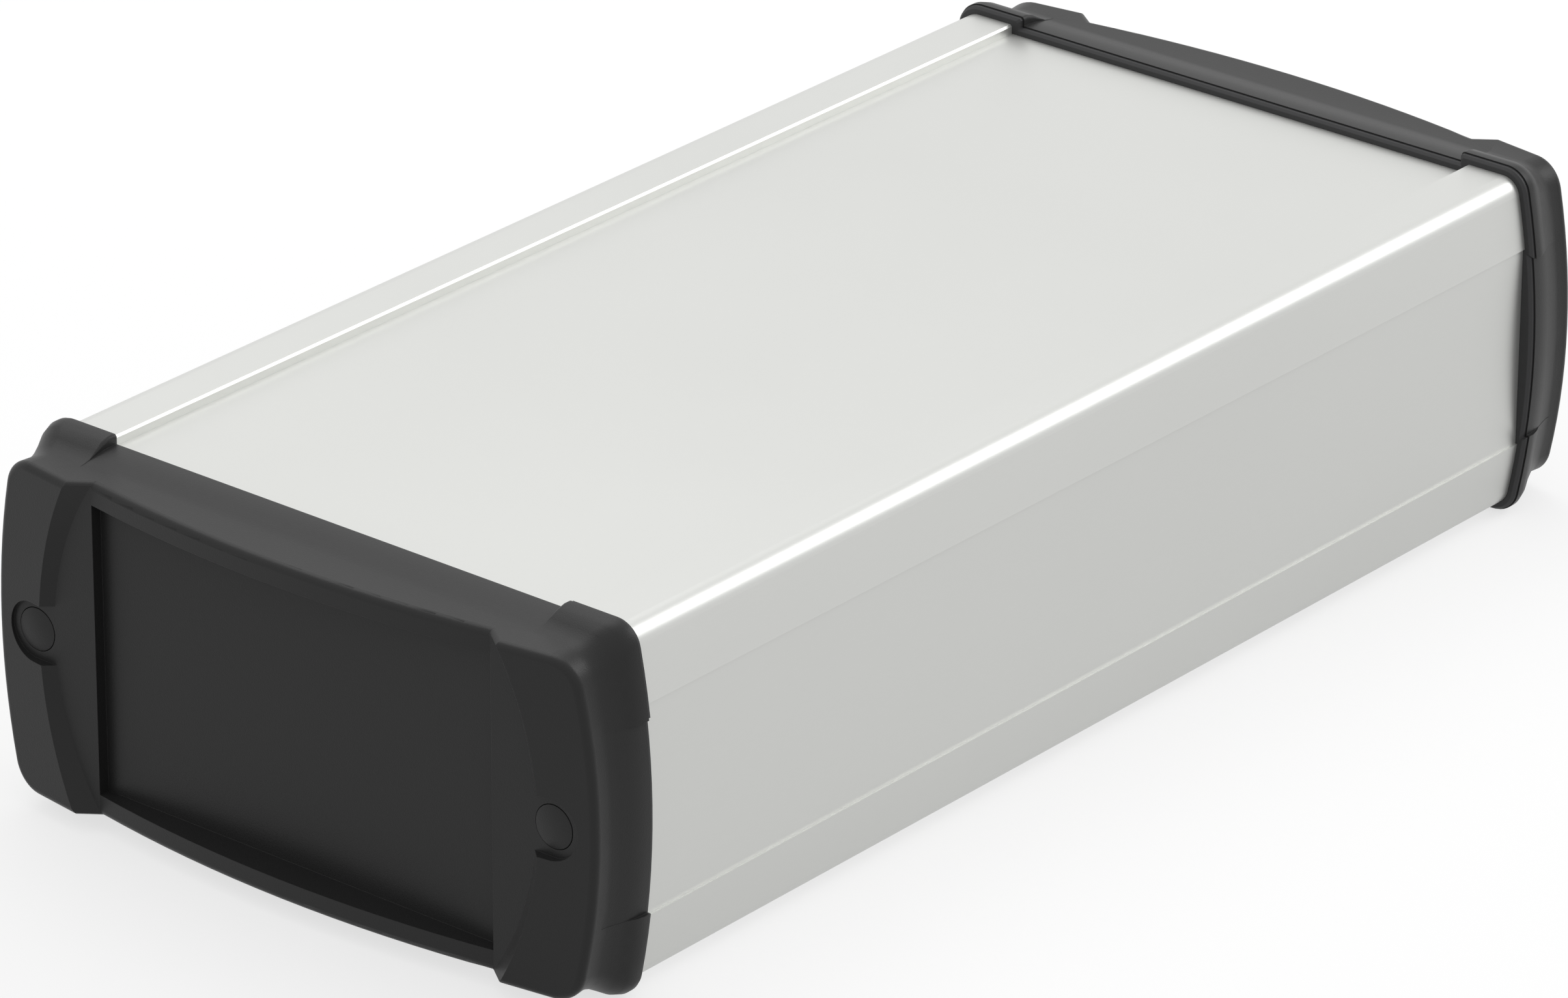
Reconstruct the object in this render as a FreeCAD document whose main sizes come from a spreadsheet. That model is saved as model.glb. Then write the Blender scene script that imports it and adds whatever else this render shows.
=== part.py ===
import FreeCAD
import Part

import math
import os

from FreeCAD import Placement, Rotation, Vector

# Extruded aluminium enclosure: a tube with four raised beads, closed by two moulded end caps.
# X is the width, Y the length (the front cap looks towards -Y) and Z is up.
# The origin lies on the resting plane, in the middle of the width and of the length.

# Driving sizes in millimetres and degrees, grouped by the piece that owns them
SIZES = {
    # tube section
    "tube_length": 200.0,
    "field_width": 105.2,
    "field_height": 49.2,
    "bead_rise": 1.45,
    "bead_side_rise": 1.35,
    "bead_band": 10.4,
    "bead_side_band": 9.1,
    "side_radius": 117.0,
    "tube_corner": 3.0,
    "bead_edge": 0.3,
    "tube_wall": 2.2,
    "cavity_corner": 1.2,
    # rim of a cap, which stands out over the tube
    "rim_over": 1.35,
    "rim_side_over": 2.15,
    "rim_bead_over": 1.65,
    "rim_corner": 4.2,
    "rim_edge": 0.6,
    "rim_land": 1.0,
    # flare of a cap, from the rim to the front outline
    "flare_depth": 7.9,
    "flare_tuck": 0.05,
    "waist_tuck": 0.45,
    "top_fade": 5.9,
    "side_fade": 4.2,
    # front outline of a cap
    "front_over": 0.5,
    "front_radius": 95.0,
    "front_corner": 5.0,
    "front_round": 1.1,
    # face of a cap
    "dish_level": 10.0,
    "dish_inset": 3.2,
    "dish_draft": 48.0,
    "ear_apex": 17.8,
    "ear_slope": 8.1,
    "ear_block": 7.5,
    "rail_peak": 13.0,
    "rail_inset": 7.65,
    "rail_width": 3.3,
    "recess_depth": 1.75,
    "plug_margin": 1.2,
    # inside of a cap
    "cap_wall": 2.2,
    "core_wall": 2.0,
    "core_width": 7.0,
    "core_cover": 5.5,
    # gasket
    "lip_height": 0.9,
    "lip_bevel": 0.4,
    "lip_inset": 0.2,
    "tube_seat": 0.5,
    "gasket_web": 1.0,
    "gasket_side": 0.8,
    "web_side": 12.6,
    "web_edge": 3.6,
    # screws
    "screw_inset": 6.0,
    "screw_shank": 2.9,
    "screw_head": 5.5,
    "screw_head_height": 2.4,
    "screw_reach": 10.0,
    "screw_drive": 2.5,
    "screw_drive_depth": 1.3,
    "screw_play": 0.15,
    "head_seat": 3.9,
    # covers over the screws
    "plug_bore": 6.5,
    "plug_seat": 7.85,
    "plug_play": 0.1,
    "plug_rise": 0.05,
    "plug_dome": 0.35,
}

# Sizes that follow from the ones above
DERIVED = {
    "bead_height": "field_height + 2 * bead_rise",
    "bead_width": "field_width + 2 * bead_side_rise",
    "bead_inner": "field_width - 2 * bead_band",
    "side_field": "field_height - 2 * bead_side_band",
    "screw_pitch": "field_width - 2 * screw_inset",
    "rim_field_height": "field_height + 2 * rim_over",
    "rim_bead_height": "bead_height + 2 * rim_over",
    "rim_bead_inner": "bead_inner - 2 * rim_bead_over",
    "rim_field_width": "field_width + 2 * rim_side_over",
    "rim_bead_width": "bead_width + 2 * rim_over",
    "rim_side_field": "side_field - 2 * rim_over",
    "front_height": "field_height + 2 * front_over",
    "front_width": "bead_width",
    "dish_diameter": "screw_pitch - 2 * dish_inset",
    "rail_span": "dish_diameter - 2 * rail_inset",
    "recess_height": "front_height - 2 * rail_width",
    "web_opening_width": "field_width - 2 * web_side",
    "web_opening_height": "field_height - 2 * web_edge",
    "shank_bore": "screw_shank + 2 * screw_play",
    "head_bore": "screw_head + 2 * screw_play",
    "core_height": "front_height / 2 - head_bore / 2 - 2 * core_wall - core_cover",
}

doc = FreeCAD.newDocument("enclosure")
sheet = doc.addObject("Spreadsheet::Sheet", "Sizes")
for row, (name, value) in enumerate(SIZES.items(), start=1):
    sheet.set(f"A{row}", name)
    sheet.set(f"B{row}", str(value))
    sheet.setAlias(f"B{row}", name)
for row, (name, formula) in enumerate(DERIVED.items(), start=len(SIZES) + 1):
    sheet.set(f"A{row}", name)
    sheet.set(f"B{row}", f"={formula}")
    sheet.setAlias(f"B{row}", name)
doc.recompute()


def size(name):
    """Read one driving size from the sheet."""
    return float(sheet.get(name))


def feature(name, shape):
    """Keep a shape as an object of the document."""
    made = doc.addObject("Part::Feature", name)
    made.Shape = shape
    return made


def bound(kind, name, **expressions):
    """Add a primitive whose properties follow the sheet."""
    made = doc.addObject(kind, name)
    for prop, expression in expressions.items():
        made.setExpression(prop.replace("__", "."), expression)
    return made


def extrusion(name, profile, direction, length, symmetric=False):
    """Extrude a flat profile by a length taken from the sheet."""
    made = doc.addObject("Part::Extrusion", name)
    made.Base = profile
    made.DirMode = "Custom"
    made.Dir = direction
    made.Solid = True
    made.Symmetric = symmetric
    made.setExpression("LengthFwd", length)
    return made


def fusion(name, pieces):
    """Join solids of one moulded or extruded piece."""
    made = doc.addObject("Part::MultiFuse", name)
    made.Shapes = pieces
    made.Refine = True
    return made


def difference(name, base, tool):
    """Cut one solid by another."""
    made = doc.addObject("Part::Cut", name)
    made.Base = base
    made.Tool = tool
    made.Refine = True
    return made


# Outlines across the length

def edge_of(points):
    """Make a straight edge from two points, or an arc through three."""
    if len(points) == 2:
        return Part.makeLine(points[0], points[1])
    return Part.Arc(points[0], points[1], points[2]).toShape()


def mirror_run(run, flip_x, flip_z):
    """Mirror a run of edges, keeping the loop's direction."""
    sx = -1 if flip_x else 1
    sz = -1 if flip_z else 1
    flipped = [tuple(Vector(sx * p.x, p.y, sz * p.z) for p in points) for points in run]
    if flip_x == flip_z:
        return flipped
    return [points[::-1] for points in flipped[::-1]]


def side_x(half_width, radius, z):
    """Half width of a bowed side at a height above the middle."""
    return half_width - radius + math.sqrt(radius ** 2 - z ** 2)


def corner_run(half_width, half_height, radius, corner, y):
    """Arc that rounds a corner between the level top and the bowed side, and its two ends."""
    centre_z = half_height - corner
    axis_x = half_width - radius
    centre_x = axis_x + math.sqrt((radius - corner) ** 2 - centre_z ** 2)
    slope = math.atan2(centre_z, centre_x - axis_x)
    start = Vector(centre_x, y, half_height)
    half_turn = (math.pi / 2 + slope) / 2
    middle = Vector(centre_x + corner * math.cos(half_turn), y, centre_z + corner * math.sin(half_turn))
    end = Vector(centre_x + corner * math.cos(slope), y, centre_z + corner * math.sin(slope))
    return start, middle, end


def stepped_wire(section, y):
    """Closed outline with a raised bead at each corner, in the plane at y."""
    corner = corner_run(section["bead_x"], section["bead_z"], section["radius"], section["corner"], y)
    foot = section["foot_z"]
    waist_x = section["field_x"]
    if section["bowed_field"]:
        waist_x = side_x(section["field_x"], section["radius"], foot)
    edge = section["edge"]
    inner = section["inner_x"]
    top = section["bead_z"]
    shoulder = (corner[2].z + foot) / 2
    bead_foot = Vector(side_x(section["bead_x"], section["radius"], foot), y, foot)
    bead_middle = Vector(side_x(section["bead_x"], section["radius"], shoulder), y, shoulder)
    run = [(Vector(inner, y, section["field_z"]), Vector(inner, y, top - edge))]
    if edge > 0:
        turn = [Vector(inner, y, top - edge), Vector(inner + edge, y, top)]
        if section["round_edge"]:
            chord = edge * (1 - math.sqrt(0.5))
            turn.insert(1, Vector(inner + chord, y, top - chord))
        run.append(tuple(turn))
    run += [
        (Vector(inner + edge, y, top), corner[0]),
        corner,
        (corner[2], bead_middle, bead_foot),
        (bead_foot, Vector(waist_x, y, foot)),
    ]
    side = [(Vector(waist_x, y, foot), Vector(section["field_x"], y, 0), Vector(waist_x, y, -foot))]
    if not section["bowed_field"]:
        side = [(Vector(waist_x, y, foot), Vector(waist_x, y, -foot))]
    floor = [(Vector(inner, y, -section["field_z"]), Vector(-inner, y, -section["field_z"]))]
    loop = run + side + mirror_run(run, False, True) + floor
    loop += mirror_run(run, True, True) + mirror_run(side, True, True)
    loop += mirror_run(run, True, False) + mirror_run(floor, True, True)
    return Part.Wire([edge_of(points) for points in loop])


def ear_wire():
    """Outer part of the front outline, laid out in the slanted plane of the right ear's face."""
    half_width = size("front_width") / 2 / math.cos(math.radians(size("ear_slope")))
    corner = corner_run(half_width, size("front_height") / 2, size("front_radius"), size("front_corner"), 0)
    low = mirror_run([corner], False, True)[0]
    inner = size("rail_span") / 4
    loop = [
        (Vector(inner, 0, corner[0].z), corner[0]),
        corner,
        (corner[2], Vector(half_width, 0, 0), low[0]),
        low,
        (low[2], Vector(inner, 0, low[2].z)),
        (Vector(inner, 0, low[2].z), Vector(inner, 0, corner[0].z)),
    ]
    return Part.Wire([edge_of(points) for points in loop])


def rounded_rectangle(width, height, corner, y):
    """Closed rectangle with round corners, in the plane at y."""
    half_x = width / 2
    half_z = height / 2
    chord = corner * (1 - math.sqrt(0.5))
    turn = [(Vector(half_x - corner, y, half_z), Vector(half_x - chord, y, half_z - chord),
             Vector(half_x, y, half_z - corner))]
    side = [(turn[0][2], Vector(half_x, y, corner - half_z))]
    floor = [(Vector(half_x - corner, y, -half_z), Vector(corner - half_x, y, -half_z))]
    loop = turn + side + mirror_run(turn, False, True) + floor
    loop += mirror_run(turn, True, True) + mirror_run(side, True, True)
    loop += mirror_run(turn, True, False) + mirror_run(floor, True, True)
    return Part.Wire([edge_of(points) for points in loop])


def tube_section(grow):
    """Outline values of the tube, moved outwards by a distance."""
    return {
        "field_z": size("field_height") / 2 + grow,
        "bead_z": size("bead_height") / 2 + grow,
        "inner_x": size("bead_inner") / 2 - grow,
        "field_x": size("field_width") / 2 + grow,
        "bead_x": size("bead_width") / 2 + grow,
        "foot_z": size("side_field") / 2 - grow,
        "radius": size("side_radius") + grow,
        "corner": size("tube_corner") + grow,
        "edge": size("bead_edge") if grow == 0 else 0,
        "round_edge": False,
        "bowed_field": False,
    }


def eased(depth, end):
    """Share of the way from the rim's land to an end, which starts and stops gently."""
    share = min(max((depth - size("rim_land")) / (end - size("rim_land")), 0), 1)
    return share * share * (3 - 2 * share)


def rim_section(depth):
    """Outline values of a cap's flare at a depth in front of its rim."""
    tuck = size("flare_tuck")
    blend = eased(depth, size("flare_depth"))
    rim = {
        "field_z": size("rim_field_height") / 2,
        "field_x": size("rim_field_width") / 2,
        "radius": size("side_radius"),
        "corner": size("rim_corner"),
    }
    waist = {
        "field_z": size("front_height") / 2 - 2 * tuck,
        "field_x": size("front_width") / 2 - size("waist_tuck"),
        "radius": size("front_radius"),
        "corner": size("front_corner"),
    }
    section = {key: (1 - blend) * rim[key] + blend * waist[key] for key in rim}
    # The beads sink into the fields along the flare, at the sides sooner than above and below
    top_step = (size("rim_bead_height") - size("rim_field_height")) / 2 * (1 - eased(depth, size("top_fade")))
    side_step = (size("rim_bead_width") - size("rim_field_width")) / 2 * (1 - eased(depth, size("side_fade")))
    section["bead_z"] = section["field_z"] + max(top_step, tuck)
    section["bead_x"] = section["field_x"] + max(side_step, tuck)
    section["inner_x"] = size("rim_bead_inner") / 2
    section["foot_z"] = size("rim_side_field") / 2
    section["edge"] = min(size("rim_edge"), max(top_step, tuck) / 2)
    section["round_edge"] = True
    section["bowed_field"] = True
    return section


def lip_section(inset):
    """Outline values of the gasket's lip, set in from a cap's rim."""
    section = rim_section(0)
    for key in ("field_z", "bead_z", "field_x", "bead_x", "radius", "corner"):
        section[key] -= inset
    for key in ("inner_x", "foot_z"):
        section[key] += inset
    section["edge"] = size("rim_edge") / 2
    section["round_edge"] = False
    return section


# Tube: one extruded section with a plain hollow

def tube_face():
    """Section of the tube: level walls with a raised bead along each corner."""
    cavity_width = size("field_width") - 2 * size("tube_wall")
    cavity_height = size("field_height") - 2 * size("tube_wall")
    outer = Part.Face(stepped_wire(tube_section(0), 0))
    cavity = Part.Face(rounded_rectangle(cavity_width, cavity_height, size("cavity_corner"), 0))
    return outer.cut(cavity).Faces[0]


tube_profile = feature("TubeSection", tube_face())
tube = extrusion("Tube", tube_profile, Vector(0, 1, 0), "Sizes.tube_length", symmetric=True)
tube.Label = "profile_tube"

# Cap, built about its own rim plane with its face towards -Y

FORWARD = Vector(0, -1, 0)
BACKWARD = Vector(0, 1, 0)
UP = Vector(0, 0, 1)
ACROSS = Vector(1, 0, 0)
FACE_OUT = Rotation(ACROSS, 90)

# Sections along the flare, and how far an edge may lie from the place where it is looked for
FLARE_STATIONS = 5
NEAR = 0.001


def rounded_over(name, base, radius_at):
    """Round over the edges of a solid by the radius, or none, that a rule gives for an edge's middle point."""
    doc.recompute()
    made = doc.addObject("Part::Fillet", name)
    made.Base = base
    chosen = []
    for number, edge in enumerate(base.Shape.Edges, start=1):
        radius = radius_at(edge.valueAt((edge.FirstParameter + edge.LastParameter) / 2))
        if radius:
            chosen.append((number, radius, radius))
    made.Edges = chosen
    return made


def front_block(name, front):
    """Block behind a front line given in plan, whose upper and lower front edges are rounded over."""
    first = front[0]
    last = front[-1]
    back = [Vector(last.x, 0, 0), Vector(first.x, 0, 0)]
    edges = [edge_of(front), Part.makeLine(last, back[0]), Part.makeLine(back[0], back[1]),
             Part.makeLine(back[1], first)]
    plan = feature(name + "Plan", Part.Wire(edges))
    block = extrusion(name + "Block", plan, UP, "Sizes.front_height", symmetric=True)
    level = size("front_height") / 2 - NEAR
    nearest = min(-point.y for point in front) - NEAR
    reach = max(abs(point.x) for point in front) - NEAR

    def front_radius(middle):
        """Radius for the upper and lower edges of the front."""
        in_front = middle.y < -nearest and abs(middle.x) < reach
        return size("front_round") if abs(middle.z) > level and in_front else 0

    return rounded_over(name, block, front_radius)


def middle_blocks():
    """Level floor of the dish, and the middle of the face that bows forward out of it."""
    level = size("dish_level")
    reach = size("screw_pitch") / 2 - size("dish_inset")
    floor = front_block("DishFloor", (Vector(-reach, -level, 0), Vector(reach, -level, 0)))
    rise = size("rail_peak") - level
    half = size("rail_span") / 2
    bow = (half ** 2 + rise ** 2) / (2 * rise)
    # The bow runs on past the span until it lies under the floor
    run_out = half + size("front_round")
    end = -side_x(size("rail_peak"), bow, run_out)
    peak = Vector(0, -size("rail_peak"), 0)
    rails = front_block("Rails", (Vector(-run_out, end, 0), peak, Vector(run_out, end, 0)))
    return [floor, rails]


def flare():
    """Flare of a cap, from its stepped rim to just under its front outline."""
    land = feature("RimOutline", stepped_wire(rim_section(0), 0))
    band = extrusion("RimBand", land, FORWARD, "Sizes.rim_land")
    sections = []
    for station in range(FLARE_STATIONS + 1):
        depth = size("rim_land") + station / FLARE_STATIONS * (size("flare_depth") - size("rim_land"))
        sections.append(feature(f"Flare{station}", stepped_wire(rim_section(depth), -depth)))
    loft = doc.addObject("Part::Loft", "Flare")
    loft.Sections = sections
    loft.Solid = True
    loft.Ruled = True
    return [band, loft]


def dish():
    """Round dish with a sloped wall, which parts an ear from the middle of the face."""
    made = bound("Part::Cone", "Dish",
                 Radius1="Sizes.dish_diameter / 2",
                 Radius2="Sizes.dish_diameter / 2 + Sizes.dish_level * tan(Sizes.dish_draft * 1deg)",
                 Height="Sizes.dish_level",
                 Placement__Base__y="-Sizes.dish_level")
    made.Placement.Rotation = FACE_OUT
    return made


def plug_recess():
    """Round-ended recess in the right ear, open towards the dish, in which a screw cover lies."""
    end = bound("Part::Cylinder", "RecessEnd",
                Radius="Sizes.plug_bore / 2 + Sizes.plug_margin",
                Height="Sizes.dish_level",
                Placement__Base__x="Sizes.screw_pitch / 2",
                Placement__Base__y="-Sizes.dish_level")
    end.Placement.Rotation = FACE_OUT
    run = bound("Part::Box", "RecessRun",
                Length="Sizes.screw_pitch / 4",
                Width="Sizes.dish_level",
                Height="Sizes.plug_bore + 2 * Sizes.plug_margin",
                Placement__Base__x="Sizes.screw_pitch / 4",
                Placement__Base__y="-2 * Sizes.dish_level",
                Placement__Base__z="-Sizes.plug_bore / 2 - Sizes.plug_margin")
    return [end, run]


def notch_block():
    """Block behind the line in which the dish's wall meets the level top, with that edge rounded over."""
    radius = size("dish_diameter") / 2
    foot_x = math.sqrt(radius ** 2 - (size("front_height") / 2) ** 2)
    outwards = radius * math.tan(math.radians(size("dish_draft"))) / foot_x
    level = size("dish_level")
    behind = 2 * size("front_round")
    beyond = (size("front_width") - foot_x) / outwards
    start = Vector(foot_x - behind * outwards, behind - level, 0)
    return front_block("Notch", (start, Vector(foot_x + beyond * outwards, -level - beyond, 0)))


def ears():
    """The two raised ends of the face: slanted blocks with a rounded outline, cut out round the dish."""
    slant = extrusion("EarBlock", feature("EarOutline", ear_wire()), BACKWARD, "Sizes.ear_block")
    slant.Placement = Placement(Vector(0, 0, 0), Rotation(UP, size("ear_slope")))
    slant.setExpression("Placement.Rotation.Angle", "Sizes.ear_slope * 1deg")
    slant.setExpression("Placement.Base.y", "-Sizes.ear_apex")
    cut_out = difference("EarCutOut", slant, fusion("EarHollow", [dish(), *plug_recess()]))
    slope = math.radians(size("ear_slope"))
    level = size("front_height") / 2 - NEAR
    top_x = side_x(size("front_width") / 2, size("front_radius"), size("front_height") / 2)
    rim = top_x - size("front_corner")

    def ear_radius(middle):
        """Radius for the outline of the slanted face."""
        if abs(middle.y + size("ear_apex") - middle.x * math.tan(slope)) > NEAR:
            return 0
        past_recess = math.hypot(middle.x - size("screw_pitch") / 2, middle.z) > size("plug_bore")
        return size("front_round") if abs(middle.z) > level or (middle.x > rim and past_recess) else 0

    right = doc.addObject("Part::Common", "RightEar")
    right.Base = rounded_over("EarRounded", cut_out, ear_radius)
    right.Tool = notch_block()
    return [right, mirrored(right, "LeftEar", ACROSS)]


def mirrored(source, label, normal):
    """The same piece on the other side of the middle."""
    made = doc.addObject("Part::Mirroring", label.title().replace("_", ""))
    made.Source = source
    made.Normal = normal
    made.Label = label
    return made


def face_recess():
    """Rectangular recess for a label or a fitting, across the bowed middle of the face."""
    return bound("Part::Box", "FaceRecess",
                 Length="Sizes.rail_span",
                 Width="Sizes.rail_peak",
                 Height="Sizes.recess_height",
                 Placement__Base__x="-Sizes.rail_span / 2",
                 Placement__Base__y="-Sizes.rail_peak - Sizes.dish_level + Sizes.recess_depth",
                 Placement__Base__z="-Sizes.recess_height / 2")


def screw_bore(side, name, diameter, start, end):
    """Round bore on a screw's axis, between two depths in front of the rim."""
    bore = bound("Part::Cylinder", name,
                 Radius=f"{diameter} / 2",
                 Height=f"{end} - {start}",
                 Placement__Base__x=f"{side} * Sizes.screw_pitch / 2",
                 Placement__Base__y=f"-({start})")
    bore.Placement.Rotation = FACE_OUT
    return bore


def rear_hollows():
    """Seat for the gasket, hollow behind the face and cored-out corners behind the ears."""
    seat = extrusion("GasketSeat", feature("SeatOutline", stepped_wire(tube_section(size("gasket_side")), 0)),
                     FORWARD, "Sizes.tube_seat + Sizes.gasket_web")
    floor_depth = "(Sizes.dish_level - Sizes.recess_depth - Sizes.cap_wall)"
    hollow = bound("Part::Box", "FaceHollow",
                   Length="Sizes.web_opening_width",
                   Width=floor_depth,
                   Height="Sizes.web_opening_height",
                   Placement__Base__x="-Sizes.web_opening_width / 2",
                   Placement__Base__y=f"-{floor_depth}",
                   Placement__Base__z="-Sizes.web_opening_height / 2")
    made = [seat, hollow]
    middle_x = "(Sizes.web_opening_width / 2 + Sizes.core_wall + Sizes.core_width / 2)"
    middle_z = "(Sizes.head_bore / 2 + 2 * Sizes.core_wall + Sizes.core_height / 2)"
    for side in (-1, 1):
        for level in (-1, 1):
            made.append(bound("Part::Box", "CornerCore",
                              Length="Sizes.core_width",
                              Width="Sizes.plug_seat - Sizes.tube_seat - Sizes.gasket_web",
                              Height="Sizes.core_height",
                              Placement__Base__x=f"{side} * {middle_x} - Sizes.core_width / 2",
                              Placement__Base__y="-Sizes.plug_seat",
                              Placement__Base__z=f"{level} * {middle_z} - Sizes.core_height / 2"))
    return made


moulding = fusion("CapBody", [*flare(), *middle_blocks(), *ears()])
openings = [face_recess(), *rear_hollows()]
for side in (-1, 1):
    openings.append(screw_bore(side, "ShankBore", "Sizes.shank_bore", "0", "Sizes.dish_level"))
    openings.append(screw_bore(side, "HeadBore", "Sizes.head_bore", "Sizes.head_seat", "Sizes.dish_level"))
    openings.append(screw_bore(side, "PlugBore", "Sizes.plug_bore", "Sizes.plug_seat", "2 * Sizes.dish_level"))
cap = difference("FrontCap", moulding, fusion("CapOpenings", openings))
cap.Label = "front_end_cap"

# Gasket: a lip round the end of the tube and a flat web under the cap

def gasket_pieces():
    """Solid of the gasket before the tube, the opening and the screws are cut out of it."""
    inset = size("lip_inset")
    bevel = size("lip_bevel")
    height = size("lip_height")
    lip = extrusion("Lip", feature("LipOutline", stepped_wire(lip_section(inset), 0)), BACKWARD,
                    "Sizes.lip_height - Sizes.lip_bevel")
    edge = doc.addObject("Part::Loft", "LipEdge")
    edge.Sections = [feature("LipEdgeFoot", stepped_wire(lip_section(inset), height - bevel)),
                     feature("LipEdgeTop", stepped_wire(lip_section(inset + bevel), height))]
    edge.Solid = True
    edge.Ruled = True
    web_face = feature("WebOutline", stepped_wire(tube_section(size("gasket_side")), 0))
    web = extrusion("Web", web_face, FORWARD, "Sizes.tube_seat + Sizes.gasket_web")
    return [lip, edge, web]


def gasket_openings():
    """Seat for the tube's end, opening of the housing and holes for the screws."""
    tube_end = feature("TubeEndOutline", stepped_wire(tube_section(0), size("lip_height")))
    seat = extrusion("TubeSeat", tube_end, FORWARD, "Sizes.lip_height + Sizes.tube_seat")
    window = bound("Part::Box", "WebWindow",
                   Length="Sizes.web_opening_width",
                   Width="2 * Sizes.dish_level",
                   Height="Sizes.web_opening_height",
                   Placement__Base__x="-Sizes.web_opening_width / 2",
                   Placement__Base__y="-Sizes.dish_level",
                   Placement__Base__z="-Sizes.web_opening_height / 2")
    made = [seat, window]
    for side in (-1, 1):
        made.append(screw_bore(side, "GasketHole", "Sizes.shank_bore", "0", "Sizes.dish_level"))
    return made


gasket_body = fusion("GasketBody", gasket_pieces())
gasket = difference("FrontGasket", gasket_body, fusion("GasketOpenings", gasket_openings()))
gasket.Label = "front_gasket"

# Screws and their covers, turned about an axis along Y with the outer side towards -Y

def screw():
    """Self-tapping screw with a hexagon socket, built about the underside of its head."""
    head = bound("Part::Cylinder", "ScrewHead", Radius="Sizes.screw_head / 2", Height="Sizes.screw_head_height")
    shank = bound("Part::Cylinder", "ScrewShank",
                  Radius="Sizes.screw_shank / 2",
                  Height="Sizes.screw_reach",
                  Placement__Base__y="Sizes.screw_reach")
    socket = bound("Part::Prism", "ScrewSocket",
                   Circumradius="Sizes.screw_drive / sqrt(3)",
                   Height="Sizes.screw_drive_depth",
                   Placement__Base__y="Sizes.screw_drive_depth - Sizes.screw_head_height")
    for made in (head, shank, socket):
        made.Placement.Rotation = FACE_OUT
    return difference("FrontLeftScrew", fusion("ScrewBlank", [head, shank]), socket)


def plug():
    """Round cover with a slightly domed face, built about its inner face."""
    thickness = "(Sizes.dish_level - Sizes.plug_seat + Sizes.plug_rise + Sizes.plug_dome)"
    radius = "(Sizes.plug_bore / 2 - Sizes.plug_play)"
    dome = f"(({radius} ^ 2 + Sizes.plug_dome ^ 2) / (2 * Sizes.plug_dome))"
    blank = bound("Part::Cylinder", "PlugBlank", Radius=radius, Height=thickness)
    blank.Placement.Rotation = FACE_OUT
    ball = bound("Part::Sphere", "PlugDome", Radius=dome, Placement__Base__y=f"{dome} - {thickness}")
    made = doc.addObject("Part::Common", "FrontLeftPlug")
    made.Base = blank
    made.Tool = ball
    return made


left_screw = screw()
left_screw.Label = "front_left_screw"
left_plug = plug()
left_plug.Label = "front_left_plug"

# Places: the caps' rims lie just over the ends of the tube, and all stands on the beads of the caps

RIM_Y = "-(Sizes.tube_length / 2 - Sizes.tube_seat)"
AXIS_X = "-Sizes.screw_pitch / 2"


def place(made, **expressions):
    """Set a piece at the height of the housing, and along the other axes by expressions."""
    made.setExpression("Placement.Base.z", "Sizes.rim_bead_height / 2")
    for axis, expression in expressions.items():
        made.setExpression(f"Placement.Base.{axis}", expression)


place(tube)
place(cap, y=RIM_Y)
place(gasket, y=RIM_Y)
place(left_screw, x=AXIS_X, y=f"{RIM_Y} - Sizes.head_seat")
place(left_plug, x=AXIS_X, y=f"{RIM_Y} - Sizes.plug_seat")
doc.recompute()


right_screw = mirrored(left_screw, "front_right_screw", ACROSS)
right_plug = mirrored(left_plug, "front_right_plug", ACROSS)
front_pieces = [cap, gasket, left_screw, right_screw, left_plug, right_plug]
rear_pieces = [mirrored(piece, piece.Label.replace("front", "rear"), BACKWARD) for piece in front_pieces]
pieces = [tube, *front_pieces, *rear_pieces]
doc.recompute()

# Nothing is written unless every object of the document is sound

for made in doc.Objects:
    if "Invalid" in made.State or "Error" in made.State:
        raise RuntimeError(f"{made.Label} did not compute: {made.State}")
for piece in pieces:
    if piece.Shape.isNull() or not piece.Shape.isValid():
        raise RuntimeError(f"{piece.Label} has no sound shape")

os.makedirs("parts", exist_ok=True)
for piece in pieces:
    piece.Shape.exportStep(f"parts/{piece.Label}.step")
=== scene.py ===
"""Studio scene of an extruded aluminium enclosure with two moulded end caps."""

import logging
import math
from dataclasses import dataclass, field
from enum import Enum
from typing import Any, Union

import bmesh
import bpy
from mathutils import Matrix, Vector


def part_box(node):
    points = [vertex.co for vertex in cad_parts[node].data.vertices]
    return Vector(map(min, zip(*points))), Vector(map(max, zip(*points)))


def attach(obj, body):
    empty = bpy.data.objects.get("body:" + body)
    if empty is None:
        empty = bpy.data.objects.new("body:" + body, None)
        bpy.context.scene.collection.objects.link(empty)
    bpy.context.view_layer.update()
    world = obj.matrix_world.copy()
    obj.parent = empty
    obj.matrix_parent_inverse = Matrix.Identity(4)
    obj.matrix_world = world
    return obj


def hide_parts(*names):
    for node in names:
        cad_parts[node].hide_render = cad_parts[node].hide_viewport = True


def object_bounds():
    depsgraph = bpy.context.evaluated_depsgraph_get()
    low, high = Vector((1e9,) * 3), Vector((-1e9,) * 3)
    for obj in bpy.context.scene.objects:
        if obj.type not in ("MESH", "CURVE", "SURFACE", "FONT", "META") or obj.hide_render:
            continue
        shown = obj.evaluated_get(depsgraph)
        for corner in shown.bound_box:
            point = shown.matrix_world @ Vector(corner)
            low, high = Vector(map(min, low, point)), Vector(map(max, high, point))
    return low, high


LOG = logging.getLogger("enclosure")

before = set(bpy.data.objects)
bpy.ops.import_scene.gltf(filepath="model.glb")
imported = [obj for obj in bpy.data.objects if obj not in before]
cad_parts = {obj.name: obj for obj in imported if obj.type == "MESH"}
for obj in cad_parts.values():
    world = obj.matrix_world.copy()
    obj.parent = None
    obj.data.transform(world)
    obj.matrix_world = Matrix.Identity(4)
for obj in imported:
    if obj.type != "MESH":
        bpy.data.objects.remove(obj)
CAD_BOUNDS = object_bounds()

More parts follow.
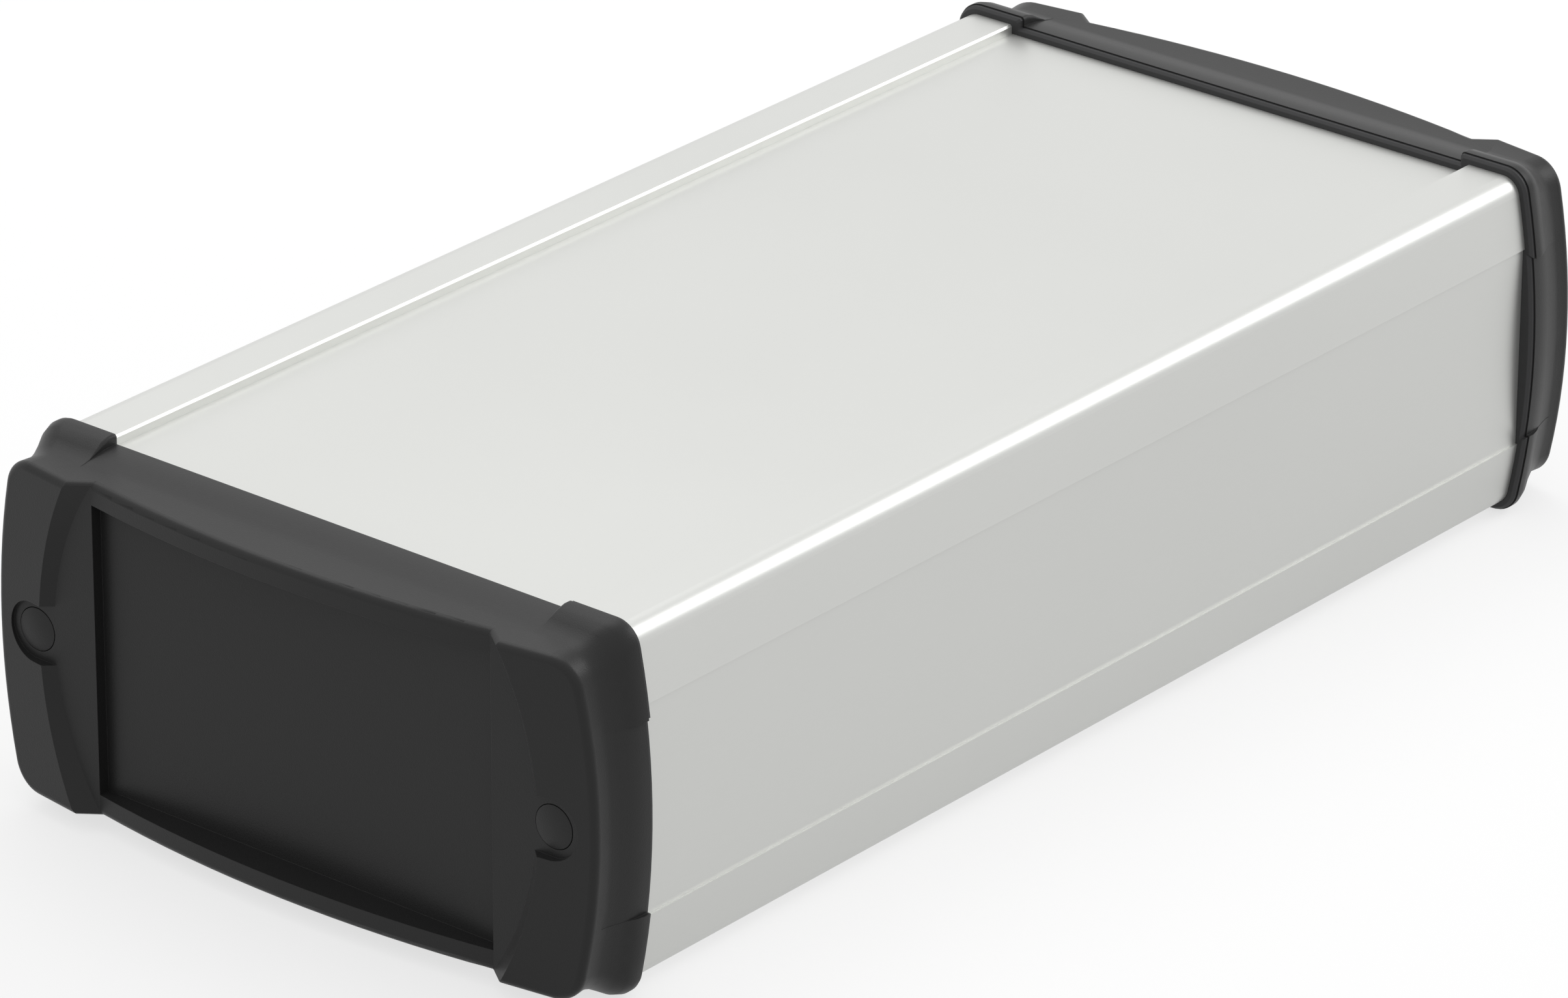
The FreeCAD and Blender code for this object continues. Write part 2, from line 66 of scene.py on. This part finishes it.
# The photograph's width in pixels, and the sensor that stands for it, in millimetres
PHOTO_WIDTH = 2408
SENSOR_WIDTH = 36.0

Colour = tuple[float, float, float]


class Slot(Enum):
    """Material slots of the record."""

    TUBE = "anodised_aluminium"
    CAP = "cap_plastic"
    GASKET = "gasket_rubber"
    SCREW = "screw_steel"


# Shader graphs, written as ordinary arithmetic


class Signal:
    """An output in a shader graph that arithmetic can be written with."""

    def __init__(self, graph: "Graph", socket: bpy.types.NodeSocket) -> None:
        """Wrap one output.

        Args:
            graph: The graph that the output belongs to.
            socket: The output itself.
        """
        self.graph = graph
        self.socket = socket

    def __add__(self, other: "Term") -> "Signal":
        """Return this value plus another."""
        return self.graph.math("ADD", self, other)

    def __radd__(self, other: "Term") -> "Signal":
        """Return another value plus this one."""
        return self.graph.math("ADD", other, self)

    def __sub__(self, other: "Term") -> "Signal":
        """Return this value less another."""
        return self.graph.math("SUBTRACT", self, other)

    def __rsub__(self, other: "Term") -> "Signal":
        """Return another value less this one."""
        return self.graph.math("SUBTRACT", other, self)

    def __mul__(self, other: "Term") -> "Signal":
        """Return this value times another."""
        return self.graph.math("MULTIPLY", self, other)

    def __rmul__(self, other: "Term") -> "Signal":
        """Return another value times this one."""
        return self.graph.math("MULTIPLY", other, self)

    def __truediv__(self, other: "Term") -> "Signal":
        """Return this value over another."""
        return self.graph.math("DIVIDE", self, other)

    def __rtruediv__(self, other: "Term") -> "Signal":
        """Return another value over this one."""
        return self.graph.math("DIVIDE", other, self)


Term = Union[Signal, float]


class Graph:
    """The node tree of one material or world."""

    def __init__(self, tree: bpy.types.NodeTree) -> None:
        """Empty a tree and take it over.

        Args:
            tree: The tree to build in.
        """
        self.tree = tree
        tree.nodes.clear()

    def feed(self, socket: bpy.types.NodeSocket, value: Any) -> None:
        """Give an input a value or a link.

        Args:
            socket: The input.
            value: A signal to link, or a plain value to set.
        """
        if isinstance(value, Signal):
            self.tree.links.new(value.socket, socket)
        else:
            socket.default_value = value

    def node(self, kind: str, inputs: dict[Any, Any] | None = None, **settings: Any) -> bpy.types.Node:
        """Add any node.

        Args:
            kind: The node's type name.
            inputs: Values or signals by input name or number.
            **settings: Properties of the node.

        Returns:
            The node.
        """
        made = self.tree.nodes.new(kind)
        for name, value in settings.items():
            setattr(made, name, value)
        for key, value in (inputs or {}).items():
            self.feed(made.inputs[key], value)
        return made

    def out(self, node: bpy.types.Node, name: str | int = 0) -> Signal:
        """Wrap an output of a node.

        Args:
            node: The node.
            name: The output's name or number.

        Returns:
            The signal.
        """
        return Signal(self, node.outputs[name])

    def math(self, operation: str, first: Term, second: Term = 0.0, clamp: bool = False) -> Signal:
        """Combine two values.

        Args:
            operation: The Math node's operation.
            first: The first value.
            second: The second value.
            clamp: Whether to keep the result between 0 and 1.

        Returns:
            The result.
        """
        made = self.node("ShaderNodeMath", {0: first, 1: second}, operation=operation, use_clamp=clamp)
        return self.out(made)

    def in_sight(self) -> Signal:
        """Tell rays that show a thing, directly or in a reflection, from rays that light the object.

        Returns:
            1 for a camera, glossy or transmission ray, and 0 for the others.
        """
        path = self.node("ShaderNodeLightPath")
        shown = self.out(path, "Is Camera Ray") + self.out(path, "Is Glossy Ray")
        return self.math("ADD", shown, self.out(path, "Is Transmission Ray"), clamp=True)

    def grains(self, place: Signal, scale: float, detail: float = 2.0) -> Signal:
        """Soft random grains of a size, from 0 to 1.

        Args:
            place: The coordinates that the grains follow.
            scale: Grains per metre.
            detail: How many finer layers are added.

        Returns:
            The grains.
        """
        noise = self.node("ShaderNodeTexNoise", {"Vector": place, "Scale": scale, "Detail": detail})
        return self.out(noise, "Fac")

    def spread(self, value: Signal, low: float, high: float) -> Signal:
        """Stretch a value from 0 to 1 over a range.

        Args:
            value: The value.
            low: What 0 becomes.
            high: What 1 becomes.

        Returns:
            The stretched value.
        """
        return value * (high - low) + low

    def tint(self, share: Signal, dark: Colour, light: Colour) -> Signal:
        """Mix two colours.

        Args:
            share: 0 for the dark colour, 1 for the light one.
            dark: Linear red, green and blue.
            light: Linear red, green and blue.

        Returns:
            The colour.
        """
        mix = self.node("ShaderNodeMix", data_type="RGBA")
        for name, value in (("Factor_Float", share), ("A_Color", (*dark, 1.0)), ("B_Color", (*light, 1.0))):
            socket = next(entry for entry in mix.inputs if entry.identifier == name)
            self.feed(socket, value)
        return Signal(self, next(entry for entry in mix.outputs if entry.identifier == "Result_Color"))


@dataclass(frozen=True)
class Finish:
    """A surface finish and the sizes of its grain.

    Attributes:
        FINE_IN_COLOUR: Weight of the grain in the colour, against the slow patches.
        FINE_IN_ROUGHNESS: Weight of the grain in the roughness.
        DRIFT_DETAIL: Finer layers in the slow patches.
        SOFT_SAMPLES: Directions in which the rounding looks for an edge.
        name: The material's name.
        dark: Linear colour in the hollows of the grain.
        light: Linear colour on top of the grain.
        metallic: Share of metal.
        roughness: Lowest and highest roughness.
        grain: Grains per metre.
        grain_height: Height of the grain in metres.
        stretch: Shares by which coordinates are scaled before the grain is laid on.
        drift: Slow patches per metre, which vary the roughness.
        softness: Radius in metres of the rounding that the light sees at edges, or 0 for edges as modelled.
        specular: Strength of the reflection of a non-metal.
    """

    FINE_IN_COLOUR = 0.4
    FINE_IN_ROUGHNESS = 0.5
    DRIFT_DETAIL = 3.0
    SOFT_SAMPLES = 6

    name: str
    dark: Colour
    light: Colour
    metallic: float
    roughness: tuple[float, float]
    grain: float
    grain_height: float
    stretch: tuple[float, float, float] = (1.0, 1.0, 1.0)
    drift: float = 18.0
    softness: float = 0.0002
    specular: float = 0.5

    def material(self) -> bpy.types.Material:
        """Build the material.

        Returns:
            The material.
        """
        made = bpy.data.materials.new(self.name)
        made.use_nodes = True
        graph = Graph(made.node_tree)
        place = graph.out(graph.node("ShaderNodeTexCoord"), "Object")
        laid = graph.out(graph.node("ShaderNodeMapping", {"Vector": place, "Scale": self.stretch}))
        fine = graph.grains(laid, self.grain)
        slow = graph.grains(place, self.drift, self.DRIFT_DETAIL)
        tone = fine * self.FINE_IN_COLOUR + slow * (1 - self.FINE_IN_COLOUR)
        polish = fine * self.FINE_IN_ROUGHNESS + slow * (1 - self.FINE_IN_ROUGHNESS)
        relief = graph.node("ShaderNodeBump", {"Height": fine, "Distance": self.grain_height, "Strength": 1.0})
        if self.softness:
            rounded = graph.node("ShaderNodeBevel", {"Radius": self.softness}, samples=self.SOFT_SAMPLES)
            graph.feed(relief.inputs["Normal"], graph.out(rounded))
        surface = graph.node("ShaderNodeBsdfPrincipled", {
            "Base Color": graph.tint(tone, self.dark, self.light),
            "Metallic": self.metallic,
            "Roughness": graph.spread(polish, *self.roughness),
            "Specular IOR Level": self.specular,
            "Normal": graph.out(relief),
        })
        graph.node("ShaderNodeOutputMaterial", {"Surface": graph.out(surface)})
        return made


FINISHES: dict[Slot, Finish] = {
    Slot.TUBE: Finish("anodised aluminium", (0.62, 0.625, 0.605), (0.66, 0.665, 0.645), 0.7, (0.34, 0.40),
                      9000.0, 0.0000008, (1.0, 0.06, 1.0), softness=0.0),
    Slot.CAP: Finish("cap plastic", (0.018, 0.018, 0.018), (0.026, 0.026, 0.026), 0.0, (0.34, 0.46),
                     5200.0, 0.000020, softness=0.0001, specular=0.22),
    Slot.GASKET: Finish("gasket rubber", (0.014, 0.014, 0.015), (0.022, 0.022, 0.023), 0.0, (0.5, 0.65),
                        3500.0, 0.000008),
    Slot.SCREW: Finish("zinc plated steel", (0.50, 0.51, 0.52), (0.62, 0.62, 0.60), 1.0, (0.24, 0.38),
                       7000.0, 0.000003),
}


@dataclass(frozen=True)
class Seams:
    """Seams between the bands of a cap's flare, over which its shading runs on.

    Attributes:
        reach: How far in front of the rim the flare and the level strip before the face go, in metres.
        limit: Largest turn in degrees over which the shading runs on.
        cell: Distance in metres within which two corners are one.
    """

    reach: float = 0.00885
    limit: float = 30.0
    cell: float = 1e-7

    def join(self, source: bpy.types.Mesh) -> tuple[list[tuple[float, float, float]], list[int]]:
        """Find the points that loose triangles share.

        Args:
            source: The mesh of loose triangles.

        Returns:
            The points, and for each vertex of the source the number of its point.
        """
        places: dict[tuple[int, ...], int] = {}
        points = []
        numbers = []
        for vertex in source.vertices:
            key = tuple(round(part / self.cell) for part in vertex.co)
            if key not in places:
                places[key] = len(points)
                points.append(tuple(vertex.co))
            numbers.append(places[key])
        return points, numbers

    def normals(self, source: bpy.types.Mesh, numbers: list[int], rim_y: float) -> list[Vector]:
        """Directions that the corners are shaded with.

        Args:
            source: The mesh of loose triangles.
            numbers: The shared point of each vertex.
            rim_y: Place of the rim along the length.

        Returns:
            One direction for each corner.
        """
        own = [entry.vector.copy() for entry in source.corner_normals]
        joined = [numbers[loop.vertex_index] for loop in source.loops]
        around: dict[int, list[Vector]] = {}
        for number, direction in zip(joined, own):
            around.setdefault(number, []).append(direction)
        least = math.cos(math.radians(self.limit))
        shaded = []
        for loop, number, direction in zip(source.loops, joined, own):
            depth = abs(source.vertices[loop.vertex_index].co.y - rim_y)
            if depth < self.reach:
                near = [other for other in around[number] if other.dot(direction) > least]
                direction = sum(near, Vector()).normalized()
            shaded.append(direction)
        return shaded


@dataclass(frozen=True)
class Cap:
    """An end cap, shaded as one smooth moulding.

    Attributes:
        node: Name of the CAD node.
        seams: How the seams of its flare are treated.
    """

    node: str
    seams: Seams = Seams()

    def build(self) -> bpy.types.Object:
        """Copy the cap's triangles, joined and shaded over the seams, in place of the CAD node.

        Returns:
            The piece.
        """
        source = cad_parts[self.node].data
        low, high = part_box(self.node)
        rim_y = min(low.y, high.y, key=abs)
        points, numbers = self.seams.join(source)
        faces = [tuple(numbers[index] for index in polygon.vertices) for polygon in source.polygons]
        mesh = bpy.data.meshes.new(self.node + "_moulding")
        mesh.from_pydata(points, [], faces)
        mesh.polygons.foreach_set("use_smooth", [True] * len(faces))
        mesh.normals_split_custom_set(self.seams.normals(source, numbers, rim_y))
        piece = bpy.data.objects.new(self.node + "_moulding", mesh)
        bpy.context.scene.collection.objects.link(piece)
        return piece

    def dress(self, piece: bpy.types.Object, material: bpy.types.Material) -> None:
        """Give the piece its finish and its place in the frame.

        Args:
            piece: The piece.
            material: Its finish.
        """
        piece.data.materials.append(material)
        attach(piece, "root")
        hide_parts(self.node)
        LOG.info("%s is a moulding of %d triangles", self.node, len(piece.data.polygons))


def place_mesh(name: str, mesh: bpy.types.Mesh) -> bpy.types.Object:
    """Put a closed mesh into the scene with its faces outwards.

    Args:
        name: The piece's name.
        mesh: The mesh, with its place in its vertices.

    Returns:
        The piece.
    """
    shape = bmesh.new()
    shape.from_mesh(mesh)
    bmesh.ops.remove_doubles(shape, verts=shape.verts, dist=1e-6)
    bmesh.ops.recalc_face_normals(shape, faces=shape.faces)
    shape.to_mesh(mesh)
    shape.free()
    mesh.name = name
    piece = bpy.data.objects.new(name, mesh)
    bpy.context.scene.collection.objects.link(piece)
    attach(piece, "root")
    return piece


@dataclass(frozen=True)
class BoardGuides:
    """Pairs of ribs along the tube's side walls, between which a circuit board slides in.

    Attributes:
        EDGE_STEPS: Segments round each of a rib's edges.
        wall: Inner face of a side wall, from the middle of the width, in metres.
        root: How far a rib reaches into the wall.
        depth: How far a rib stands out of the wall.
        thickness: Thickness of a rib.
        edge: Radius of a rib's edges.
        gap: Slot between the two ribs of a pair.
        levels: Heights of the slots above the middle of the tube; each is repeated below it.
    """

    EDGE_STEPS = 3

    wall: float = 0.0504
    root: float = 0.001
    depth: float = 0.0024
    thickness: float = 0.0012
    edge: float = 0.0003
    gap: float = 0.0018
    levels: tuple[float, ...] = (0.0095, 0.0165)

    def places(self, middle: Vector) -> list[Vector]:
        """Middles of the ribs.

        Args:
            middle: The middle of the tube.

        Returns:
            One point for each rib.
        """
        across = self.wall + (self.root - self.depth) / 2
        apart = (self.gap + self.thickness) / 2
        return [middle + Vector((side * across, 0.0, turn * level + offset * apart))
                for side in (-1, 1) for level in self.levels for turn in (-1, 1) for offset in (-1, 1)]

    def tree(self) -> bpy.types.NodeTree:
        """Nodes that run one rounded bar along the tube at every point.

        Returns:
            The node group.
        """
        group = bpy.data.node_groups.new("board_guides", "GeometryNodeTree")
        face = group.interface
        face.new_socket("Geometry", in_out="INPUT", socket_type="NodeSocketGeometry")
        for name in ("Length", "Depth", "Thickness", "Edge"):
            face.new_socket(name, in_out="INPUT", socket_type="NodeSocketFloat")
        face.new_socket("Metal", in_out="INPUT", socket_type="NodeSocketMaterial")
        face.new_socket("Geometry", in_out="OUTPUT", socket_type="NodeSocketGeometry")
        graph = Graph(group)
        given = graph.node("NodeGroupInput")
        half = graph.out(given, "Length") * 0.5
        start = graph.node("ShaderNodeCombineXYZ", {"Y": half * -1.0})
        end = graph.node("ShaderNodeCombineXYZ", {"Y": half})
        run = graph.node("GeometryNodeCurvePrimitiveLine", {"Start": graph.out(start), "End": graph.out(end)})
        section = graph.node("GeometryNodeCurvePrimitiveQuadrilateral", {
            "Width": graph.out(given, "Depth"), "Height": graph.out(given, "Thickness")})
        rounded = graph.node("GeometryNodeFilletCurve", {
            "Curve": graph.out(section), "Radius": graph.out(given, "Edge"), "Count": self.EDGE_STEPS},
            mode="POLY")
        bar = graph.node("GeometryNodeCurveToMesh", {
            "Curve": graph.out(run), "Profile Curve": graph.out(rounded), "Fill Caps": True})
        bars = graph.node("GeometryNodeInstanceOnPoints", {
            "Points": graph.out(given, "Geometry"), "Instance": graph.out(bar)})
        real = graph.node("GeometryNodeRealizeInstances", {"Geometry": graph.out(bars)})
        dressed = graph.node("GeometryNodeSetMaterial", {
            "Geometry": graph.out(real), "Material": graph.out(given, "Metal")})
        graph.node("NodeGroupOutput", {"Geometry": graph.out(dressed)})
        return group

    def build(self, middle: Vector, length: float, metal: bpy.types.Material) -> bpy.types.Object:
        """Make the ribs.

        Args:
            middle: The middle of the tube.
            length: The tube's length.
            metal: The tube's finish.

        Returns:
            The piece.
        """
        points = bpy.data.meshes.new("board_guide_places")
        points.from_pydata(self.places(middle), [], [])
        carrier = bpy.data.objects.new("board_guide_places", points)
        bpy.context.scene.collection.objects.link(carrier)
        maker = carrier.modifiers.new("guides", "NODES")
        maker.node_group = self.tree()
        values = {"Length": length, "Depth": self.root + self.depth, "Thickness": self.thickness,
                  "Edge": self.edge, "Metal": metal}
        for item in maker.node_group.interface.items_tree:
            if item.in_out == "INPUT" and item.name in values:
                maker[item.identifier] = values[item.name]
        seen = carrier.evaluated_get(bpy.context.evaluated_depsgraph_get())
        mesh = bpy.data.meshes.new_from_object(seen)
        bpy.data.objects.remove(carrier)
        piece = place_mesh("board_guides", mesh)
        LOG.info("board guides: %d ribs, %d faces", len(self.places(middle)), len(mesh.polygons))
        return piece


@dataclass(frozen=True)
class ScrewChannel:
    """Open channel along a side wall, which the caps' screws cut their threads into.

    Attributes:
        side: -1 for the left wall and 1 for the right one.
        axis: The screws' axis, from the middle of the width, in metres.
        wall: Where its neck ends inside the side wall.
        bore: Radius of the bore.
        skin: Thickness of the metal round the bore, and half the neck's height.
        mouth: Half the height of the opening towards the middle.
        steps: Points along each arc.
    """

    side: int
    axis: float = 0.0466
    wall: float = 0.0514
    bore: float = 0.0015
    skin: float = 0.0017
    mouth: float = 0.0009
    steps: int = 16

    def arc(self, radius: float, first: float, last: float) -> list[tuple[float, float]]:
        """Points round the axis, with angles from the wall's side upwards.

        Args:
            radius: The arc's radius.
            first: Its first angle in radians.
            last: Its last angle in radians.

        Returns:
            Places across and above the axis.
        """
        angles = [first + (last - first) * step / self.steps for step in range(self.steps + 1)]
        return [(radius * math.cos(angle), radius * math.sin(angle)) for angle in angles]

    def section(self) -> list[tuple[float, float]]:
        """Outline of the channel and its neck.

        Returns:
            Places across and above the screws' axis, in order.
        """
        outer = self.bore + self.skin
        neck = math.asin(self.skin / outer)
        rim = math.pi - math.asin(self.mouth / outer)
        lip = math.pi - math.asin(self.mouth / self.bore)
        root = self.wall - self.axis
        return ([(root, self.skin)] + self.arc(outer, neck, rim) + self.arc(self.bore, lip, -lip)
                + self.arc(outer, -rim, -neck) + [(root, -self.skin)])

    def build(self, middle: Vector, length: float, metal: bpy.types.Material) -> bpy.types.Object:
        """Run the outline along the tube.

        Args:
            middle: The middle of the tube.
            length: The tube's length.
            metal: The tube's finish.

        Returns:
            The piece.
        """
        outline = self.section()
        points = [middle + Vector((self.side * (self.axis + across), end * length / 2, above))
                  for end in (-1, 1) for across, above in outline]
        count = len(outline)
        faces = [tuple(range(count)), tuple(range(count, 2 * count))]
        for index in range(count):
            following = (index + 1) % count
            faces.append((index, following, following + count, index + count))
        name = "left_screw_channel" if self.side < 0 else "right_screw_channel"
        mesh = bpy.data.meshes.new(name)
        mesh.from_pydata(points, [], faces)
        mesh.materials.append(metal)
        piece = place_mesh(name, mesh)
        LOG.info("%s: %d faces", name, len(mesh.polygons))
        return piece


@dataclass
class Part:
    """CAD nodes that share a finish.

    Attributes:
        slot: The record's slot.
        nodes: Names of the CAD nodes.
    """

    slot: Slot
    nodes: list[str]

    def dress(self) -> bpy.types.Material:
        """Give every node its finish.

        Returns:
            The finish's material.
        """
        material = FINISHES[self.slot].material()
        for name in self.nodes:
            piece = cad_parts[name]
            piece.data.materials.clear()
            piece.data.materials.append(material)
            LOG.info("%s gets %s", name, material.name)
        return material


@dataclass
class Enclosure:
    """The whole object, as parts that share a finish.

    Attributes:
        parts: CAD nodes that keep their shape.
        caps: End caps.
    """

    parts: list[Part] = field(default_factory=list)
    caps: list[Cap] = field(default_factory=list)

    def collect(self) -> None:
        """Sort the CAD nodes by the piece they are."""
        names = sorted(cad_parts)
        self.parts = [
            Part(Slot.TUBE, [name for name in names if name.endswith("tube")]),
            Part(Slot.CAP, [name for name in names if name.endswith("plug")]),
            Part(Slot.GASKET, [name for name in names if name.endswith("gasket")]),
            Part(Slot.SCREW, [name for name in names if name.endswith("screw")]),
        ]
        self.caps = [Cap(name) for name in names if name.endswith("cap")]

    def dress(self) -> None:
        """Finish every part, and add what runs along the inside of the tube."""
        finished = {part.slot: part.dress() for part in self.parts}
        low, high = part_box("profile_tube")
        middle = (low + high) / 2
        for inner in (BoardGuides(), ScrewChannel(-1), ScrewChannel(1)):
            inner.build(middle, high.y - low.y, finished[Slot.TUBE])
        plastic = FINISHES[Slot.CAP].material()
        for cap in self.caps:
            cap.dress(cap.build(), plastic)


# Studio


@dataclass(frozen=True)
class SoftBox:
    """A square soft light that looks at the object's middle.

    Attributes:
        name: The light's name.
        direction: Where it stands, seen from the object's middle.
        distance: How far away, in metres.
        side: Length of its side in metres.
        power: Its power in watts.
    """

    name: str
    direction: tuple[float, float, float]
    distance: float
    side: float
    power: float

    def build(self, middle: Vector) -> None:
        """Add the light to the scene.

        Args:
            middle: The point it looks at.
        """
        data = bpy.data.lights.new(self.name, "AREA")
        data.shape = "SQUARE"
        data.size = self.side
        data.energy = self.power
        lamp = bpy.data.objects.new(self.name, data)
        away = Vector(self.direction).normalized()
        lamp.location = middle + away * self.distance
        lamp.rotation_mode = "QUATERNION"
        lamp.rotation_quaternion = (-away).to_track_quat("-Z", "Y")
        bpy.context.scene.collection.objects.link(lamp)


@dataclass(frozen=True)
class View:
    """The photograph's camera.

    Attributes:
        CLIP: Nearest and furthest distance that the camera shows, in metres.
        azimuth: Degrees round from the front towards the right.
        elevation: Degrees above the horizon.
        roll: Degrees that the camera turns about its own axis.
        focal: Focal length in the photograph's pixels.
        offset: Place in millimetres from the middle of the front rim plane.
        rim_y: Place of that plane along the length, in millimetres.
    """

    CLIP = (0.1, 20.0)

    azimuth: float = 39.5165
    elevation: float = 24.737
    roll: float = 0.224
    focal: float = 14358.7
    offset: tuple[float, float, float] = (764.38, -835.41, 550.34)
    rim_y: float = -97.39

    def build(self) -> None:
        """Add the camera and look through it."""
        data = bpy.data.cameras.new("camera")
        data.sensor_width = SENSOR_WIDTH
        data.lens = self.focal / PHOTO_WIDTH * SENSOR_WIDTH
        data.clip_start, data.clip_end = self.CLIP
        camera = bpy.data.objects.new("camera", data)
        turn = math.radians(self.azimuth)
        rise = math.radians(self.elevation)
        back = Vector((math.sin(turn) * math.cos(rise), -math.cos(turn) * math.cos(rise), math.sin(rise)))
        low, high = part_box("front_end_cap")
        middle = Vector((0.0, self.rim_y / 1000, (low.z + high.z) / 2))
        camera.rotation_mode = "QUATERNION"
        level = (-back).to_track_quat("-Z", "Y")
        roll = Matrix.Rotation(math.radians(self.roll), 4, "Z").to_quaternion()
        camera.rotation_quaternion = level @ roll
        camera.location = middle + Vector(self.offset) / 1000
        bpy.context.scene.collection.objects.link(camera)
        bpy.context.scene.camera = camera


class Studio:
    """Floor, light and camera.

    Attributes:
        LIGHTS: The soft lights.
        SKY_LOW: Light that comes from straight below.
        SKY_HIGH: Light that comes from straight above.
        WHITE: What is shown behind the object.
        FLOOR_REACH: Half the floor's side in metres.
        FLOOR_DROP: How far the floor lies under the resting plane, in metres.
        FLOOR_TONE: The floor's colour for rays that light the object.
        FLOOR_PALE: The floor's colour where it is seen, which keeps the object's shadow.
        FLOOR_GLOW: Share of plain white in the floor where it is seen.
        view: The camera.
    """

    LIGHTS = (
        SoftBox("rear right", (0.42, 0.70, 0.58), 1.3, 0.6, 4.5),
        SoftBox("above", (-0.40, 0.20, 0.90), 1.3, 0.9, 4.2),
    )

    SKY_LOW = (0.30, 0.30, 0.30)
    SKY_HIGH = (0.85, 0.85, 0.85)
    WHITE = (1.0, 1.0, 1.0, 1.0)
    FLOOR_REACH = 3.0
    FLOOR_DROP = 0.0002
    FLOOR_TONE = (0.22, 0.22, 0.22, 1.0)
    FLOOR_PALE = (0.92, 0.92, 0.92, 1.0)
    FLOOR_GLOW = 0.7

    def __init__(self, view: View) -> None:
        """Plan the studio.

        Args:
            view: The camera to use.
        """
        self.view = view

    def build(self) -> None:
        """Add everything that isn't part of the object."""
        low, high = CAD_BOUNDS
        middle = (low + high) / 2
        self.world()
        self.floor()
        for light in self.LIGHTS:
            light.build(middle)
        self.view.build()
        bpy.context.scene.view_settings.view_transform = "Standard"

    def world(self) -> None:
        """Soft light from all round, brighter from above, with a white ground for the camera."""
        world = bpy.data.worlds.new("studio")
        world.use_nodes = True
        bpy.context.scene.world = world
        graph = Graph(world.node_tree)
        place = graph.out(graph.node("ShaderNodeTexCoord"), "Generated")
        up = graph.out(graph.node("ShaderNodeSeparateXYZ", {0: place}), "Z")
        sky = graph.tint(up * 0.5 + 0.5, self.SKY_LOW, self.SKY_HIGH)
        glow = graph.out(graph.node("ShaderNodeBackground", {"Color": sky}))
        white = graph.out(graph.node("ShaderNodeBackground", {"Color": self.WHITE}))
        mixed = graph.node("ShaderNodeMixShader", {0: graph.in_sight(), 1: glow, 2: white})
        graph.node("ShaderNodeOutputWorld", {"Surface": graph.out(mixed)})

    def floor(self) -> None:
        """Plain pale floor, level with the resting beads."""
        mesh = bpy.data.meshes.new("floor")
        reach = self.FLOOR_REACH
        corners = [(-reach, -reach, 0), (reach, -reach, 0), (reach, reach, 0), (-reach, reach, 0)]
        mesh.from_pydata(corners, [], [(0, 1, 2, 3)])
        plate = bpy.data.objects.new("floor", mesh)
        plate.location.z = -self.FLOOR_DROP
        bpy.context.scene.collection.objects.link(plate)
        material = bpy.data.materials.new("floor")
        material.use_nodes = True
        graph = Graph(material.node_tree)
        shade = graph.out(graph.node("ShaderNodeBsdfDiffuse", {"Color": self.FLOOR_TONE}))
        pale = graph.out(graph.node("ShaderNodeBsdfDiffuse", {"Color": self.FLOOR_PALE}))
        glow = graph.out(graph.node("ShaderNodeEmission", {"Color": self.WHITE, "Strength": 1.0}))
        bright = graph.out(graph.node("ShaderNodeMixShader", {0: self.FLOOR_GLOW, 1: pale, 2: glow}))
        mixed = graph.node("ShaderNodeMixShader", {0: graph.in_sight(), 1: shade, 2: bright})
        graph.node("ShaderNodeOutputMaterial", {"Surface": graph.out(mixed)})
        mesh.materials.append(material)


def main() -> None:
    """Build the whole scene."""
    logging.basicConfig(level=logging.INFO)
    enclosure = Enclosure()
    enclosure.collect()
    enclosure.dress()
    Studio(View()).build()


if __name__ == "__main__":
    main()
